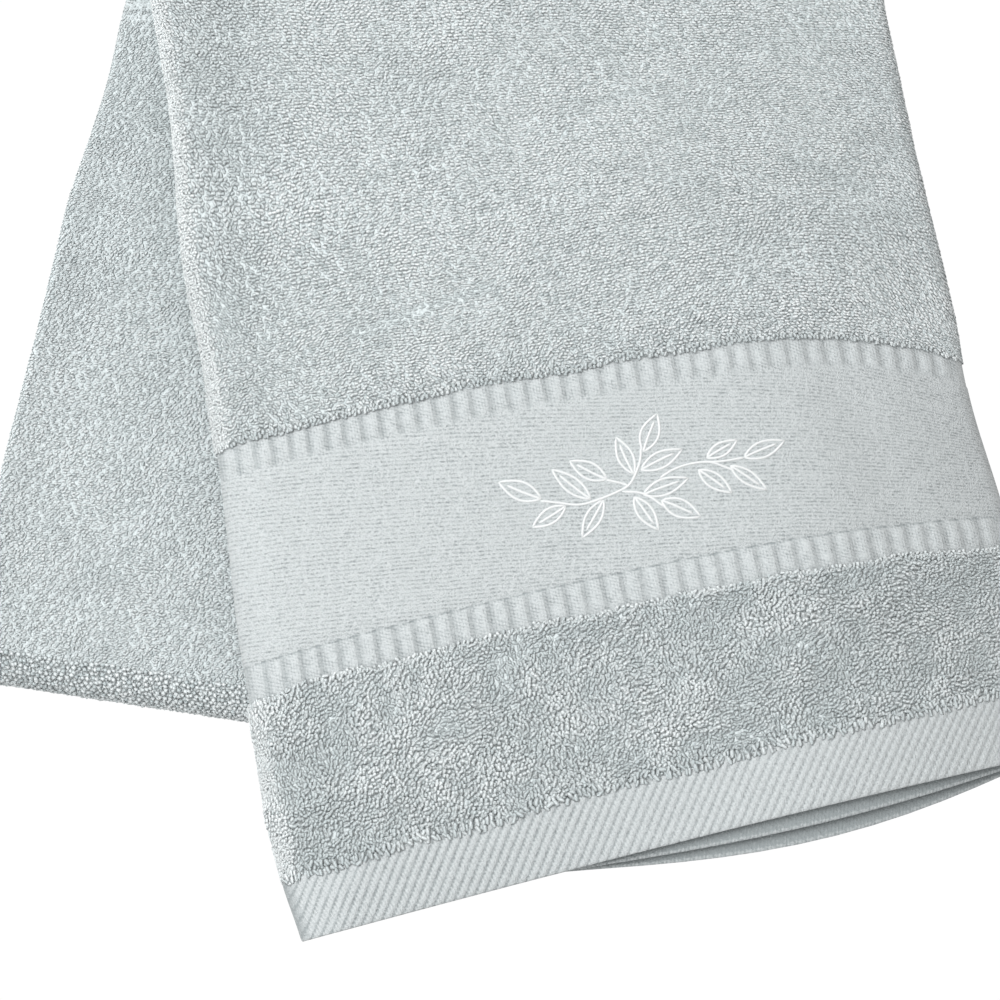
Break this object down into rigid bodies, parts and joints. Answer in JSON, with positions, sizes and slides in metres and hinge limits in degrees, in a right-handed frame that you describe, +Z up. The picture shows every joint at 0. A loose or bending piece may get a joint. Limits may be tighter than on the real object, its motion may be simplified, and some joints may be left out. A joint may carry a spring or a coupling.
{
  "type": "folded bath towel",
  "caption": "Terry bath towel folded lengthwise and in half, draped askew over an unseen level rail, with a smooth ribbed border and a twilled hem at its front end.",
  "frame": {"origin": "on the axis of the level rail that the towel hangs over, midway along the towel's top", "axes": "+X along the rail, to the right of someone facing the border; +Y away from them; +Z up"},
  "size_m": [0.3855, 0.083, 0.3739],
  "materials": {
    "terry": "matte looped cotton pile",
    "flat_weave": "smooth twilled cotton weave",
    "thread": "soft sheen embroidery thread"
  },
  "bodies": {
    "root": {"towel": "terry"}
  },
  "joints": []
}
